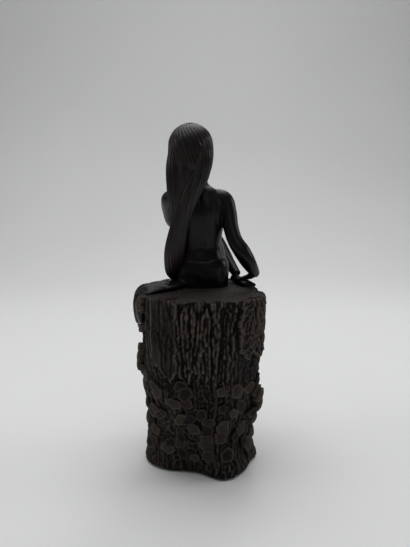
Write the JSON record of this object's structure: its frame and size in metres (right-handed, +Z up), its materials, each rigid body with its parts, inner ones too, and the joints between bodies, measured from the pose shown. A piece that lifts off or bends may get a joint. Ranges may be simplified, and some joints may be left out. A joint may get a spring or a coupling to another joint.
{
  "type": "okimono carving",
  "caption": "Dark carved ornament: a long-haired seated figure in a backless gown on an ivy-grown tree stump.",
  "frame": {"origin": "on the underside, at the middle of the stump's foot", "axes": "+Z up; +Y the way the figure faces; +X to the figure's right hand, which is the right in the picture"},
  "size_m": [0.0747, 0.0985, 0.2002],
  "materials": {
    "felt": "matt dark felt",
    "stump_wood": "matt dark stain, rubbed paler on the edges",
    "figure_wood": "dark stain, waxed to a soft gloss",
    "hair_wood": "dark reddish stain, waxed",
    "dowel_wood": "plain turned hardwood"
  },
  "bodies": {
    "root": {"base_felt": "felt", "stump_trunk": "stump_wood", "ivy_leaves": "stump_wood", "ivy_stems": "stump_wood", "bark_slab_left": "stump_wood", "bark_slab_right": "stump_wood", "bark_panel_back": "stump_wood", "bark_comb_back": "stump_wood", "bark_slab_front_right": "stump_wood", "bark_slab_front_left": "stump_wood", "hip_block": "figure_wood", "gown_lap": "figure_wood", "gown_fall": "figure_wood", "gown_train": "figure_wood", "torso": "figure_wood", "head": "figure_wood", "right_arm": "figure_wood", "right_hand": "figure_wood", "left_arm": "figure_wood", "left_hand": "figure_wood", "right_lower_leg": "figure_wood", "right_foot": "figure_wood", "left_lower_leg": "figure_wood", "left_foot": "figure_wood", "hair_crown": "hair_wood", "hair_long_lock": "hair_wood", "hair_side_fall": "hair_wood", "seat_dowel_right": "dowel_wood", "seat_dowel_left": "dowel_wood", "waist_dowel": "dowel_wood", "neck_dowel": "dowel_wood", "shoulder_dowel_right": "dowel_wood", "shoulder_dowel_left": "dowel_wood"}
  },
  "joints": []
}
